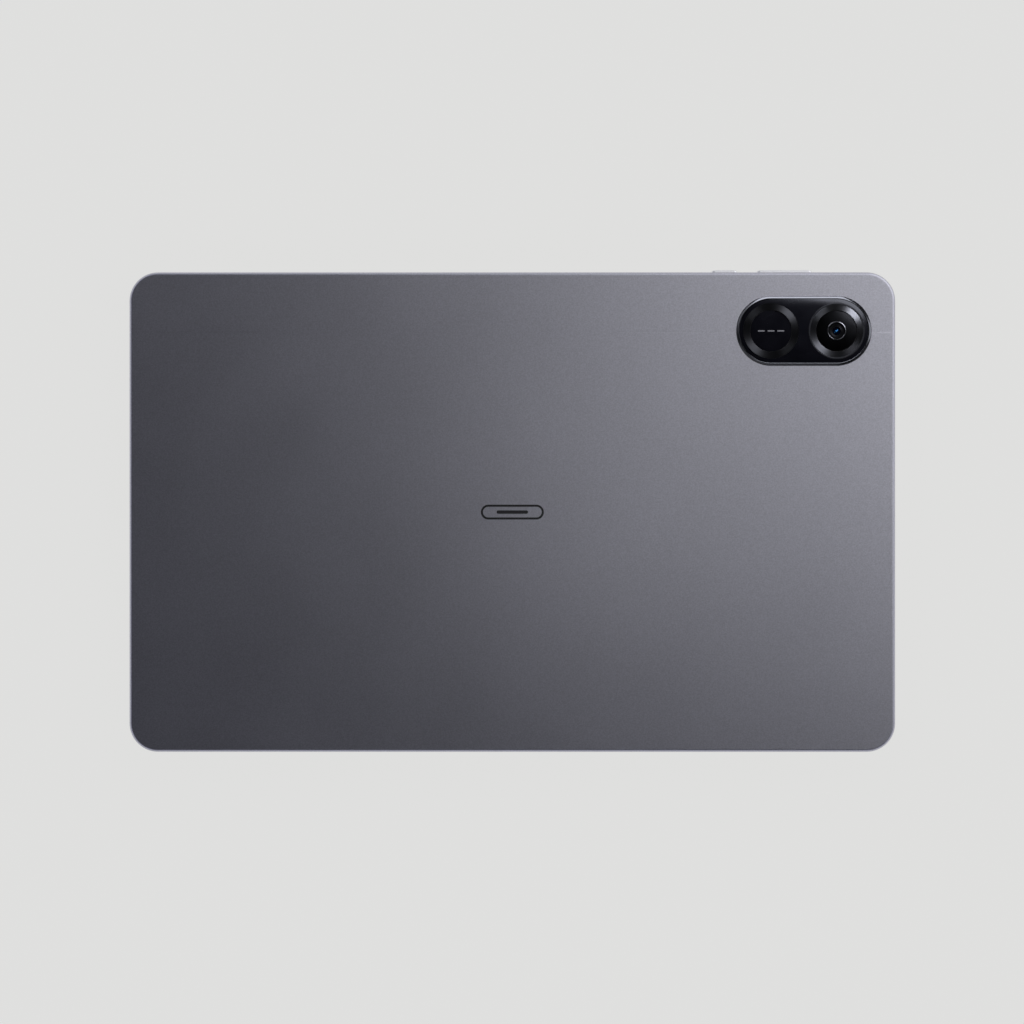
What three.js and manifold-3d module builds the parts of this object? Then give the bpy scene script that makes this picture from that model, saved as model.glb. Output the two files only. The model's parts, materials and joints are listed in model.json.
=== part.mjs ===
// Tablet computer of the 11.5-inch class, lying on its screen. Millimetres.
// +Z points out of the rear cover, +X along the long side, +Y towards the edge that carries the keys.
// The origin is the centre of the screen glass's outer face, which is what the tablet rests on.
//
// From the table up: cover glass, display module, mid frame, deck with battery and boards, rear housing.

import * as THREE from "three";
import { mergeVertices } from "three/addons/utils/BufferGeometryUtils.js";
import Module from "manifold-3d";

const wasm = await Module();
wasm.setup();

// ---------- Driving dimensions ----------

const LENGTH = 267.3;
const WIDTH = 167.4;
const THICKNESS = 6.9;
const CORNER_R = 10;
const REAR_EDGE_R = 1;

const AIR = 0.05; // gap between stacked layers: adhesive film or air
const FIT = 0.15; // gap round a piece that sits in an opening

// Rear housing: an aluminium shell with a plastic antenna cap along its keyed edge.
const SHELL_WALL = 1.2;
const SHELL_BACK = 0.8;
const SHELL_FRONT_Z = 0.95;
const SHELL_INNER_Z = THICKNESS - SHELL_BACK;
const SEAM_Y = 62.75;
const SEAM_GAP = 0.1;
const EDGE_MID_Z = 3.45; // height of the ports and keys on the side walls

// Cover glass and the lip of the mid frame round it.
const GLASS_T = 0.6;
const GLASS_INSET = 0.9;
const LIP_INSET = 0.1;
const LIP_INNER_INSET = 0.8;
const LIP_FRONT_Z = 0.25;
const LEDGE_Z = 0.85;

// Display module, in a pocket of the mid frame. Its driver ledge makes it deeper towards -Y.
const MODULE_LENGTH = 252.4;
const MODULE_WIDTH = 155.4;
const MODULE_Y = -1.5;
const MODULE_R = 2;
const MODULE_CLEARANCE = 0.3;

// Mid frame: a rim with a plate that parts the display from the deck.
const RIM_INSET = SHELL_WALL + 0.1;
const RIM_WALL = 0.8;
const RIM_TOP_Z = 3.5;
const PLATE_FRONT_Z = 2.8;
const PLATE_REAR_Z = 3.2;
const DECK_Z = PLATE_REAR_Z + 0.1;

// Circuit boards.
const BOARD_T = 0.8;
const BOARD_TOP_Z = DECK_Z + BOARD_T;
const SHIELD_WALL = 0.2;
const SHIELD_T = 1.6;
const FLEX_T = 0.15;

// Rear camera: a raised stadium over the seam, with a round eye at each end.
const CAMERA_X = 101.75;
const CAMERA_Y = 63.25;
const CAMERA_LENGTH = 47.25;
const CAMERA_WIDTH = 24.4;
const EYE_SPACING = 22.9;
const EYE_X = { decor: CAMERA_X - EYE_SPACING / 2, lens: CAMERA_X + EYE_SPACING / 2 };
const CAMERA_TOP_Z = 8;
const CAMERA_EYE_R = 9.7;
const CAMERA_FLANGE = 1;

// Keys on the +Y wall.
const KEY_HEIGHT = 2.2;
const KEY_PROUD = 0.75;
const KEY_TRAVEL = 0.3;
const POWER_KEY = { x: 74.1, length: 9.05 };
const VOLUME_KEY = { x: 95, length: 19.2, switchSpan: 13 };

// Ports and grilles on the short walls.
const USB = { width: 8.94, height: 3.26, wall: 0.31, depth: 7, tongueWidth: 6.7, tongueT: 0.7, y: 0 };
const GRILLE = { y: 37, slots: 5, slotLength: 4, slotHeight: 1.2, pitch: 4.9 };
const SPEAKER = { length: 27, width: 13.4, height: 2.55, wallGap: 2.75 };
const MICROPHONE_Y = 14;
const PIN_HOLE_R = 0.5;

// Battery: two pouch cells side by side.
const CELL = { length: 186, width: 58, thickness: 2.35, x: 5, bottomZ: 3.45 };
const CELL_Y = [-47.5, 11.5];

const CORNER_STEPS = 4; // three.js doubles this on an arc: 8 chords a quarter turn
const ROUND_STEPS = 8;
const FINE_ROUND = 32; // chords on a large full circle
const SMALL_ROUND = 16;

// ---------- Materials ----------

const finish = (color, roughness, metalness) =>
  new THREE.MeshStandardMaterial({ color, roughness, metalness });

const MATERIALS = {
  aluminium: finish("#76767d", 0.5, 0.9),
  paintedPlastic: finish("#76767d", 0.5, 0.4),
  blackPlastic: finish("#1b1b1e", 0.55, 0),
  blackGlass: finish("#08080a", 0.06, 0),
  clearGlass: finish("#101216", 0.04, 0),
  darkMetal: finish("#3a3b41", 0.3, 1),
  lensMetal: finish("#55565e", 0.28, 1),
  steel: finish("#a8a8aa", 0.35, 1),
  circuit: finish("#12401f", 0.5, 0),
  flex: finish("#b06a1c", 0.45, 0.1),
  chip: finish("#17171a", 0.4, 0),
  battery: finish("#2c2c30", 0.6, 0),
  graphite: finish("#303236", 0.45, 0.3),
  film: finish("#e9ebee", 0.3, 0),
  foam: finish("#0f0f10", 0.9, 0),
  gold: finish("#c9a04a", 0.3, 1),
};

// ---------- Solid helpers ----------

function toSolid(geometry) {
  const bare = geometry.clone();
  bare.deleteAttribute("normal");
  bare.deleteAttribute("uv");
  const merged = mergeVertices(bare, 1e-4);
  return new wasm.Manifold(
    new wasm.Mesh({
      numProp: 3,
      vertProperties: merged.attributes.position.array,
      triVerts: new Uint32Array(merged.index.array),
    }),
  );
}

function toGeometry(solid) {
  const mesh = solid.getMesh();
  const indexed = new THREE.BufferGeometry();
  indexed.setAttribute("position", new THREE.BufferAttribute(mesh.vertProperties, 3));
  indexed.setIndex(new THREE.BufferAttribute(mesh.triVerts, 1));
  const geometry = indexed.toNonIndexed();
  geometry.computeVertexNormals();
  return geometry;
}

function piece(name, solid, material) {
  const mesh = new THREE.Mesh(toGeometry(solid), material);
  mesh.name = name;
  return mesh;
}

const joined = (...solids) => solids.reduce((sum, next) => sum.add(next));
const cut = (solid, ...tools) => tools.reduce((rest, tool) => rest.subtract(tool), solid);

function block([x0, x1], [y0, y1], [z0, z1]) {
  const box = new THREE.BoxGeometry(x1 - x0, y1 - y0, z1 - z0);
  return toSolid(box.translate((x0 + x1) / 2, (y0 + y1) / 2, (z0 + z1) / 2));
}

// A block centred on x and y.
const slab = (x, y, length, width, z0, z1) =>
  block([x - length / 2, x + length / 2], [y - width / 2, y + width / 2], [z0, z1]);

function extrude(shape, from, to, steps) {
  const options = { depth: to - from, bevelEnabled: false, curveSegments: steps };
  return new THREE.ExtrudeGeometry(shape, options).translate(0, 0, from);
}

// The shape lies in the XY plane.
const prism = (shape, z0, z1, steps = ROUND_STEPS) => toSolid(extrude(shape, z0, z1, steps));

// The shape's first axis is Y and its second is Z.
function prismAlongX(shape, x0, x1, steps = ROUND_STEPS) {
  const turn = new THREE.Matrix4().set(0, 0, 1, 0, 1, 0, 0, 0, 0, 1, 0, 0, 0, 0, 0, 1);
  return toSolid(extrude(shape, x0, x1, steps).applyMatrix4(turn));
}

// The shape's first axis is X and its second is Z.
function prismAlongY(shape, y0, y1, steps = ROUND_STEPS) {
  const turn = new THREE.Matrix4().set(1, 0, 0, 0, 0, 0, -1, 0, 0, 1, 0, 0, 0, 0, 0, 1);
  return toSolid(extrude(shape, -y1, -y0, steps).applyMatrix4(turn));
}

function roundedRect(length, width, radius, x = 0, y = 0) {
  const [a, b] = [length / 2 - radius, width / 2 - radius];
  const quarter = Math.PI / 2;
  const shape = new THREE.Shape();
  shape.absarc(x + a, y - b, radius, -quarter, 0);
  shape.absarc(x + a, y + b, radius, 0, quarter);
  shape.absarc(x - a, y + b, radius, quarter, 2 * quarter);
  shape.absarc(x - a, y - b, radius, 2 * quarter, 3 * quarter);
  return shape;
}

function stadium(length, width, x = 0, y = 0) {
  const a = (length - width) / 2;
  const shape = new THREE.Shape();
  shape.absarc(x + a, y, width / 2, -Math.PI / 2, Math.PI / 2);
  shape.absarc(x - a, y, width / 2, Math.PI / 2, 1.5 * Math.PI);
  return shape;
}

const circle = (radius, x = 0, y = 0) => new THREE.Shape().absarc(x, y, radius, 0, 2 * Math.PI);

function cylinder(radius, z0, z1, x = 0, y = 0, chords = SMALL_ROUND) {
  const rod = new THREE.CylinderGeometry(radius, radius, z1 - z0, chords);
  return toSolid(rod.rotateX(Math.PI / 2).translate(x, y, (z0 + z1) / 2));
}

// A solid turned about a Z axis through (x, y). The profile lists [radius, z] anticlockwise:
// either a closed loop clear of the axis or a line that starts and ends on it.
function turned(profile, x = 0, y = 0, chords = FINE_ROUND) {
  const closed = profile[0][0] === 0 ? profile : [...profile, profile[0]];
  const points = closed.map(([radius, z]) => new THREE.Vector2(radius, z));
  const lathe = new THREE.LatheGeometry(points, chords);
  return toSolid(lathe.rotateX(Math.PI / 2).translate(x, y, 0));
}

// A solid whose cross-section at each height is an outline drawn in by an inset.
// Each level is [inset, z], from the lowest up.
function stackGeometry(outline, levels) {
  const rings = levels.map(([inset, z]) => outline(inset).map((p) => [p.x, p.y, z]));
  const count = rings[0].length;
  const at = (level, i) => level * count + (i % count);
  const faces = [];
  for (let level = 0; level + 1 < rings.length; level++) {
    for (let i = 0; i < count; i++) {
      faces.push(at(level, i), at(level, i + 1), at(level + 1, i + 1));
      faces.push(at(level, i), at(level + 1, i + 1), at(level + 1, i));
    }
  }
  const top = rings.length - 1;
  for (let i = 1; i + 1 < count; i++) {
    faces.push(at(0, 0), at(0, i + 1), at(0, i));
    faces.push(at(top, 0), at(top, i), at(top, i + 1));
  }
  const geometry = new THREE.BufferGeometry();
  geometry.setAttribute("position", new THREE.Float32BufferAttribute(rings.flat(2), 3));
  geometry.setIndex(faces);
  return geometry;
}

const stack = (outline, levels) => toSolid(stackGeometry(outline, levels));

const bodyOutline = (inset) =>
  roundedRect(LENGTH - 2 * inset, WIDTH - 2 * inset, CORNER_R - inset).getPoints(CORNER_STEPS);

const cameraOutline = (inset) =>
  stadium(CAMERA_LENGTH - 2 * inset, CAMERA_WIDTH - 2 * inset, CAMERA_X, CAMERA_Y)
    .getPoints(ROUND_STEPS);

const bodyStack = (...levels) => stack(bodyOutline, levels);
const cameraStack = (...levels) => stack(cameraOutline, levels);

// Levels of a convex quarter round that ends at height topZ.
function roundedEdge(radius, topZ, steps) {
  return Array.from({ length: steps + 1 }, (_, i) => {
    const angle = (i / steps) * (Math.PI / 2);
    return [radius * (1 - Math.cos(angle)), topZ - radius + radius * Math.sin(angle)];
  });
}

// ---------- Rear housing ----------

const SHORT_WALLS = [-1, 1];
const SPEAKER_ROWS = [-1, 1];

const slotCentres = Array.from(
  { length: GRILLE.slots },
  (_, i) => (i - (GRILLE.slots - 1) / 2) * GRILLE.pitch,
);

// A cutter for one opening through a short wall; side is -1 or +1.
function wallOpening(shape, side, depth = SHELL_WALL + 0.5, steps = 3) {
  const outside = LENGTH / 2 + 1;
  const [x0, x1] = [outside - 1 - depth, outside].map((x) => side * x).sort((a, b) => a - b);
  return prismAlongX(shape, x0, x1, steps);
}

const usbOutline = (grow) =>
  stadium(USB.width + 2 * grow, USB.height + 2 * grow, USB.y, EDGE_MID_Z);

function keyOpening({ x, length }) {
  const shape = stadium(length + 2 * FIT, KEY_HEIGHT + 2 * FIT, x, EDGE_MID_Z);
  return prismAlongY(shape, WIDTH / 2 - SHELL_WALL - 0.5, WIDTH / 2 + 1, 4);
}

function grilleOpenings() {
  const openings = [];
  for (const side of SHORT_WALLS) {
    for (const row of SPEAKER_ROWS) {
      for (const offset of slotCentres) {
        const y = row * GRILLE.y + offset;
        const slot = stadium(GRILLE.slotLength, GRILLE.slotHeight, y, EDGE_MID_Z);
        openings.push(wallOpening(slot, side));
      }
    }
  }
  return openings;
}

function rearHousing() {
  const lead = 0.1;
  const outside = bodyStack(
    [lead, SHELL_FRONT_Z],
    [0, SHELL_FRONT_Z + lead],
    ...roundedEdge(REAR_EDGE_R, THICKNESS, 3),
  );
  const hollowR = 0.6;
  const inside = bodyStack(
    [SHELL_WALL, 0],
    [SHELL_WALL, SHELL_INNER_Z - hollowR],
    [SHELL_WALL + hollowR, SHELL_INNER_Z],
  );
  const cameraHole = stadium(
    CAMERA_LENGTH - 2 * CAMERA_FLANGE,
    CAMERA_WIDTH - 2 * CAMERA_FLANGE,
    CAMERA_X,
    CAMERA_Y,
  );
  const housing = cut(
    outside,
    inside,
    prism(cameraHole, SHELL_INNER_Z - 1, THICKNESS + 1),
    keyOpening(POWER_KEY),
    keyOpening(VOLUME_KEY),
    wallOpening(usbOutline(FIT), -1, SHELL_WALL + 0.5, 5),
    wallOpening(circle(PIN_HOLE_R, MICROPHONE_Y, EDGE_MID_Z), -1, SHELL_WALL + 0.5, 4),
    ...grilleOpenings(),
  );
  const [x, z] = [
    [-LENGTH, LENGTH],
    [-1, THICKNESS + 1],
  ];
  const below = block(x, [-WIDTH, SEAM_Y - SEAM_GAP / 2], z);
  const above = block(x, [SEAM_Y + SEAM_GAP / 2, WIDTH], z);
  return [
    piece("rear_shell", housing.intersect(below), MATERIALS.aluminium),
    piece("antenna_cap", housing.intersect(above), MATERIALS.paintedPlastic),
  ];
}

// ---------- Mid frame ----------

const modulePocket = (grow, z0, z1) =>
  prism(
    roundedRect(MODULE_LENGTH + 2 * grow, MODULE_WIDTH + 2 * grow, MODULE_R + grow, 0, MODULE_Y),
    z0,
    z1,
    2,
  );

const KEY_BAY = { x0: 66, x1: 108, y0: 78.7, y1: WIDTH / 2 - SHELL_WALL, z0: 1.8 };
const FRONT_CAMERA = { x: 0, y: 79.4, size: 4.6, z0: GLASS_T + FIT, z1: 4.4 };
const DISPLAY_FLEX = { x0: 5, x1: 25, slotY0: -81.2, slotY1: -79.2 };

const MAIN_BOARD_SCREWS = [
  [-37.2, 62],
  [10, 62],
  [77, 52.5],
  [100, 52.5],
];
const SUB_BOARD_SCREWS = [
  [-111.5, -20],
  [-111.5, 20],
];
const SCREW = { shankR: 0.7, headR: 1.3, headT: 0.4, tipZ: 2.95, holeR: 0.85 };

function midFrame() {
  const rimTop = RIM_TOP_Z + 0.1;
  const solid = joined(
    bodyStack(
      [LIP_INSET + 0.25, LIP_FRONT_Z],
      [LIP_INSET, LIP_FRONT_Z + 0.25],
      [LIP_INSET, SHELL_FRONT_Z - AIR],
    ),
    bodyStack([RIM_INSET, LIP_FRONT_Z + 0.3], [RIM_INSET, RIM_TOP_Z]),
  );
  const speakerNotches = SHORT_WALLS.flatMap((side) =>
    SPEAKER_ROWS.map((row) =>
      slab(side * (LENGTH / 2 - 1.8), row * GRILLE.y, 1.3, 25.6, 2.2, rimTop),
    ),
  );
  const deck = RIM_INSET + RIM_WALL;
  const camera = FRONT_CAMERA;
  const usbBay = [-LENGTH / 2 + 1, -LENGTH / 2 + USB.depth + 0.3];
  const body = cut(
    solid,
    bodyStack([LIP_INNER_INSET, 0], [LIP_INNER_INSET, LEDGE_Z]),
    modulePocket(MODULE_CLEARANCE, 0.5, PLATE_FRONT_Z),
    bodyStack([deck, PLATE_REAR_Z], [deck, rimTop]),
    block([KEY_BAY.x0, KEY_BAY.x1], [KEY_BAY.y0, KEY_BAY.y1], [KEY_BAY.z0, rimTop]),
    slab(camera.x, camera.y, camera.size + 0.4, camera.size + 0.4, 0.5, rimTop),
    block(
      [DISPLAY_FLEX.x0 - 1, DISPLAY_FLEX.x1 + 1],
      [DISPLAY_FLEX.slotY0, DISPLAY_FLEX.slotY1],
      [0.5, rimTop],
    ),
    block(usbBay, [-USB.width / 2 - 0.3, USB.width / 2 + 0.3], [EDGE_MID_Z - 1.8, rimTop]),
    wallOpening(circle(PIN_HOLE_R, MICROPHONE_Y, EDGE_MID_Z), -1, 4, 4),
    ...speakerNotches,
    ...[...MAIN_BOARD_SCREWS, ...SUB_BOARD_SCREWS].map(([x, y]) =>
      cylinder(SCREW.holeR, PLATE_FRONT_Z - 0.5, rimTop, x, y),
    ),
  );
  return [piece("mid_frame", body, MATERIALS.blackPlastic)];
}

// ---------- Display ----------

function display() {
  const edge = 0.25;
  const glass = bodyStack(
    [GLASS_INSET + edge, 0],
    [GLASS_INSET, edge],
    [GLASS_INSET, GLASS_T],
  );
  const adhesive = cut(
    bodyStack([GLASS_INSET + 0.4, GLASS_T + AIR], [GLASS_INSET + 0.4, LEDGE_Z - AIR]),
    modulePocket(0.5, 0, 2),
    slab(FRONT_CAMERA.x, FRONT_CAMERA.y, FRONT_CAMERA.size, FRONT_CAMERA.size, 0, 2),
  );
  const cellZ = [GLASS_T + AIR, 1.45];
  const trayZ = [1.5, 2.55];
  const trayWall = 0.3;
  const trayFloorZ = trayZ[1] - 0.2;
  const layers = -trayWall - 0.2;
  const ledStrip = { y0: -78.6, y1: -77.2 };
  const aboveLeds = block([-LENGTH, LENGTH], [ledStrip.y1 + 0.2, WIDTH], [0, 5]);
  const half = MODULE_LENGTH / 2 + layers - 2;
  const guide = modulePocket(layers, 1.78, 2.28).intersect(aboveLeds);
  const tray = cut(modulePocket(0, ...trayZ), modulePocket(-trayWall, 1, trayFloorZ));
  const strip = block([-half, half], [ledStrip.y0, ledStrip.y1], [1.78, 2.28]);

  // The ribbon leaves the cell's driver ledge, passes the plate's slot and runs under the battery.
  const { x0, x1, slotY0 } = DISPLAY_FLEX;
  const turnY = slotY0 + 0.5;
  const runZ = PLATE_REAR_Z + AIR;
  const padY = 49;
  const ribbon = joined(
    block([x0, x1], [turnY, -79.3], [1, 1 + FLEX_T]),
    block([x0, x1], [turnY, turnY + FLEX_T], [1, runZ + FLEX_T]),
    block([x0, x1], [turnY, padY - 1], [runZ, runZ + FLEX_T]),
    block([x0, x1], [padY - 1, padY - 1 + FLEX_T], [runZ, BOARD_TOP_Z + AIR + FLEX_T]),
    block([x0, x1], [padY - 1, padY + 2], [BOARD_TOP_Z + AIR, BOARD_TOP_Z + AIR + FLEX_T]),
  );
  const eye = FRONT_CAMERA;
  const selfie = joined(
    slab(eye.x, eye.y, eye.size, eye.size, 1.9, eye.z1),
    cylinder(1.9, eye.z0, 2, eye.x, eye.y),
  );
  return [
    piece("cover_glass", glass, MATERIALS.blackGlass),
    piece("display_adhesive", adhesive, MATERIALS.foam),
    piece("lcd_cell", modulePocket(0, ...cellZ), MATERIALS.clearGlass),
    piece("backlight_films", modulePocket(layers, 1.53, 1.72), MATERIALS.film),
    piece("light_guide", guide, MATERIALS.film),
    piece("backlight_led_strip", strip, MATERIALS.flex),
    piece("backlight_tray", tray, MATERIALS.steel),
    piece("display_flex", ribbon, MATERIALS.flex),
    piece("front_camera", selfie, MATERIALS.chip),
  ];
}

// ---------- Rear camera ----------

const EYE_SEAT_Z = 7.1;
const RING_R = { outer: CAMERA_EYE_R, decorInner: 6.9, lensInner: 7.05 };
const BARREL = { r: 3.45, boreR: 2.2, z0: 3.95, z1: 6.7 };
const BARREL_GAP = 0.15;

function cameraSurround() {
  const chamfer = 0.45;
  const rim = 1.15;
  const seat = 2;
  const flangeZ = THICKNESS + AIR;
  const foot = CAMERA_FLANGE + 0.1;
  const frame = cut(
    joined(
      cameraStack([0, flangeZ], [0, CAMERA_TOP_Z - chamfer], [chamfer, CAMERA_TOP_Z]),
      cameraStack([foot, 5.7], [foot, flangeZ + 0.2]),
    ),
    cameraStack([rim, EYE_SEAT_Z], [rim, CAMERA_TOP_Z + 1]),
    cameraStack([seat, 5], [seat, EYE_SEAT_Z + 0.5]),
  );
  const pane = cut(
    cameraStack([rim + AIR, EYE_SEAT_Z + AIR], [rim + AIR, CAMERA_TOP_Z - FIT]),
    ...Object.values(EYE_X).map((x) =>
      cylinder(RING_R.outer + AIR, 6, 9, x, CAMERA_Y, FINE_ROUND),
    ),
  );
  const carrier = cut(
    cameraStack([seat + 0.1, 6.3], [seat + 0.1, EYE_SEAT_Z - AIR]),
    cylinder(4.2, 6, 8, EYE_X.lens, CAMERA_Y, FINE_ROUND),
  );
  return [
    piece("camera_frame", frame, MATERIALS.darkMetal),
    piece("camera_window", pane, MATERIALS.blackGlass),
    piece("camera_carrier", carrier, MATERIALS.blackPlastic),
  ];
}

// The two round ornaments in the window: a plain disc in a ring, and the lens glass in a cone.
function cameraEyes() {
  const decorRing = turned(
    [
      [RING_R.decorInner, EYE_SEAT_Z],
      [RING_R.outer, EYE_SEAT_Z],
      [RING_R.outer, CAMERA_TOP_Z - 0.1],
      [RING_R.outer - 0.25, CAMERA_TOP_Z],
      [RING_R.decorInner, CAMERA_TOP_Z - 0.35],
    ],
    EYE_X.decor,
    CAMERA_Y,
  );
  const lensRing = turned(
    [
      [RING_R.lensInner, EYE_SEAT_Z],
      [RING_R.outer, EYE_SEAT_Z],
      [RING_R.outer, CAMERA_TOP_Z + 0.15],
      [RING_R.outer - 0.3, CAMERA_TOP_Z + 0.35],
      [RING_R.lensInner, CAMERA_TOP_Z - 0.15],
    ],
    EYE_X.lens,
    CAMERA_Y,
  );
  const plug = (innerR, z0, z1, x) => cylinder(innerR - AIR, z0, z1, x, CAMERA_Y, FINE_ROUND);
  const disc = plug(RING_R.decorInner, EYE_SEAT_Z, CAMERA_TOP_Z - 0.4, EYE_X.decor);
  const glass = plug(RING_R.lensInner, EYE_SEAT_Z + 0.2, CAMERA_TOP_Z - 0.25, EYE_X.lens);
  return [
    piece("decor_ring", decorRing, MATERIALS.darkMetal),
    piece("decor_disc", disc, MATERIALS.blackGlass),
    piece("lens_ring", lensRing, MATERIALS.lensMetal),
    piece("lens_cover_glass", glass, MATERIALS.clearGlass),
  ];
}

// The barrel slides in the housing along the optical axis to focus.
function cameraModule() {
  const [x, y] = [EYE_X.lens, CAMERA_Y];
  const { r, boreR, z0, z1 } = BARREL;
  const boreZ = z0 + 0.8;
  const barrel = turned(
    [
      [1, z0],
      [r, z0],
      [r, z1 - 0.15],
      [r - 0.15, z1],
      [r - 0.6, z1],
      [boreR, z1 - 0.5],
      [boreR, boreZ],
      [1, boreZ],
    ],
    x,
    y,
  );
  const lensR = boreR - 0.1;
  const lensZ = boreZ + 0.1;
  const element = turned(
    [
      [0, lensZ],
      [lensR, lensZ],
      [lensR, lensZ + 0.5],
      [0.65 * lensR, lensZ + 0.9],
      [0.3 * lensR, lensZ + 1.05],
      [0, lensZ + 1.1],
    ],
    x,
    y,
    SMALL_ROUND,
  );
  const housing = cut(
    slab(x, y, 9, 9, 3.65, 6.25),
    cylinder(r + BARREL_GAP, 3.8, 7, x, y, FINE_ROUND),
  );
  const padZ = [BOARD_TOP_Z + AIR, BOARD_TOP_Z + AIR + FLEX_T];
  const riserX = x - 6.1;
  const strip = [y - 2, y + 2];
  const board = joined(
    slab(x, y, 9.6, 9.6, DECK_Z, DECK_Z + 0.3),
    block([riserX, x - 4.5], strip, [DECK_Z, DECK_Z + FLEX_T]),
    block([riserX, riserX + FLEX_T], strip, [DECK_Z, padZ[1]]),
    block([riserX - 4, riserX + FLEX_T], strip, padZ),
  );
  const gasket = turned(
    [
      [3.75, 6.35],
      [4.1, 6.35],
      [4.1, EYE_SEAT_Z + 0.1],
      [3.75, EYE_SEAT_Z + 0.1],
    ],
    x,
    y,
  );
  return [
    piece("rear_camera_housing", housing, MATERIALS.chip),
    piece("rear_lens_barrel", barrel, MATERIALS.blackPlastic),
    piece("rear_lens_element", element, MATERIALS.clearGlass),
    piece("rear_camera_board", board, MATERIALS.flex),
    piece("camera_gasket", gasket, MATERIALS.foam),
  ];
}

// ---------- Keys ----------

const WALL_INNER_Y = WIDTH / 2 - SHELL_WALL;
const KEY_FLANGE_Y = [WALL_INNER_Y - 0.8, WALL_INNER_Y - 0.3];
const KEY_STUB_Y = KEY_FLANGE_Y[0] - 0.5;
const SWITCH_TOP_Y = KEY_STUB_Y - KEY_TRAVEL - AIR;
const KEY_BRACKET_Y = KEY_BAY.y0 + 0.3;
const KEY_FLEX_Y = KEY_BRACKET_Y + 0.45;

// A solid with its levels along Y instead of Z.
function keyStack(centreX, outline, levels) {
  const geometry = stackGeometry(outline, levels).rotateX(-Math.PI / 2);
  return toSolid(geometry.translate(centreX, 0, EDGE_MID_Z));
}

// A key: a cap with sloped ends, a flange behind the wall and a stub for each switch.
function keySolid({ x, length }, stubOffsets) {
  const slope = { along: 0.95, across: 0.35, depth: 0.5 };
  const capOutline = (inset) =>
    stadium(
      length - 2 * slope.along * inset,
      KEY_HEIGHT - 2 * slope.across * inset,
    ).getPoints(5);
  const flangeOutline = () => stadium(length + 1, KEY_HEIGHT + 0.8).getPoints(3);
  const outerY = WIDTH / 2 + KEY_PROUD;
  const shoulder = 0.35;
  return joined(
    keyStack(x, capOutline, [
      [0, KEY_FLANGE_Y[1] - 0.1],
      [0, outerY - slope.depth],
      [shoulder, outerY - slope.depth * (1 - shoulder) * 0.55],
      [1, outerY],
    ]),
    keyStack(x, flangeOutline, KEY_FLANGE_Y.map((y) => [0, y])),
    ...stubOffsets.map((offset) =>
      block(
        [x + offset - 1, x + offset + 1],
        [KEY_STUB_Y, KEY_FLANGE_Y[0] + 0.1],
        [EDGE_MID_Z - 0.7, EDGE_MID_Z + 0.7],
      ),
    ),
  );
}

function sideKeys() {
  const half = VOLUME_KEY.switchSpan / 2;
  const switchAt = (x) =>
    joined(
      block([x - 1.5, x + 1.5], [KEY_FLEX_Y + 0.2, SWITCH_TOP_Y - 0.3], [2.35, 4.55]),
      block([x - 0.7, x + 0.7], [SWITCH_TOP_Y - 0.4, SWITCH_TOP_Y], [2.9, 4]),
    );
  const bracket = joined(
    block([67, 107], [KEY_BRACKET_Y, KEY_BRACKET_Y + 0.4], [2, 5.2]),
    block([67, 107], [KEY_BRACKET_Y, KEY_BRACKET_Y + 2.6], [5, 5.4]),
  );
  const padZ = [BOARD_TOP_Z + AIR, BOARD_TOP_Z + AIR + FLEX_T];
  const flexY = [KEY_FLEX_Y, KEY_FLEX_Y + FLEX_T];
  const flex = joined(
    block([68, 106], flexY, [2.1, 4.8]),
    block([62, 68.5], flexY, [padZ[0], 4.8]),
    block([62, 66], [73, flexY[1]], padZ),
  );
  return [
    piece("power_key", keySolid(POWER_KEY, [0]), MATERIALS.aluminium),
    piece("volume_key", keySolid(VOLUME_KEY, [-half, half]), MATERIALS.aluminium),
    piece("power_key_switch", switchAt(POWER_KEY.x), MATERIALS.chip),
    piece("volume_down_switch", switchAt(VOLUME_KEY.x - half), MATERIALS.chip),
    piece("volume_up_switch", switchAt(VOLUME_KEY.x + half), MATERIALS.chip),
    piece("key_flex", flex, MATERIALS.flex),
    piece("key_bracket", bracket, MATERIALS.steel),
  ];
}

// ---------- Boards, battery and heat spreader ----------

const MAIN_BOARD = { x: [-42, 106.5], y: [48.5, 76] };
const SUB_BOARD = { x: [-126.2, -106.5], y: [-22.5, 22.5] };
const BOARD_Z = [DECK_Z, BOARD_TOP_Z];
const PAD_Z = [BOARD_TOP_Z + AIR, BOARD_TOP_Z + AIR + FLEX_T];
const PROCESSOR = { x: [-32, 4], y: [52, 74] };
const POWER_CHIPS = { x: [16, 46], y: [54, 74] };
const RADIO = { x: [52, 68], y: [54, 72] };

const shrink = ([low, high], margin) => [low + margin, high - margin];

function shieldCan({ x, y }) {
  const z = [BOARD_TOP_Z + AIR, BOARD_TOP_Z + SHIELD_T];
  const inner = block(
    shrink(x, SHIELD_WALL),
    shrink(y, SHIELD_WALL),
    [z[0] - 1, z[1] - SHIELD_WALL],
  );
  return cut(block(x, y, z), inner);
}

const drilled = (board, screws) =>
  cut(board, ...screws.map(([x, y]) => cylinder(SCREW.holeR, 2, 6, x, y)));

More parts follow.
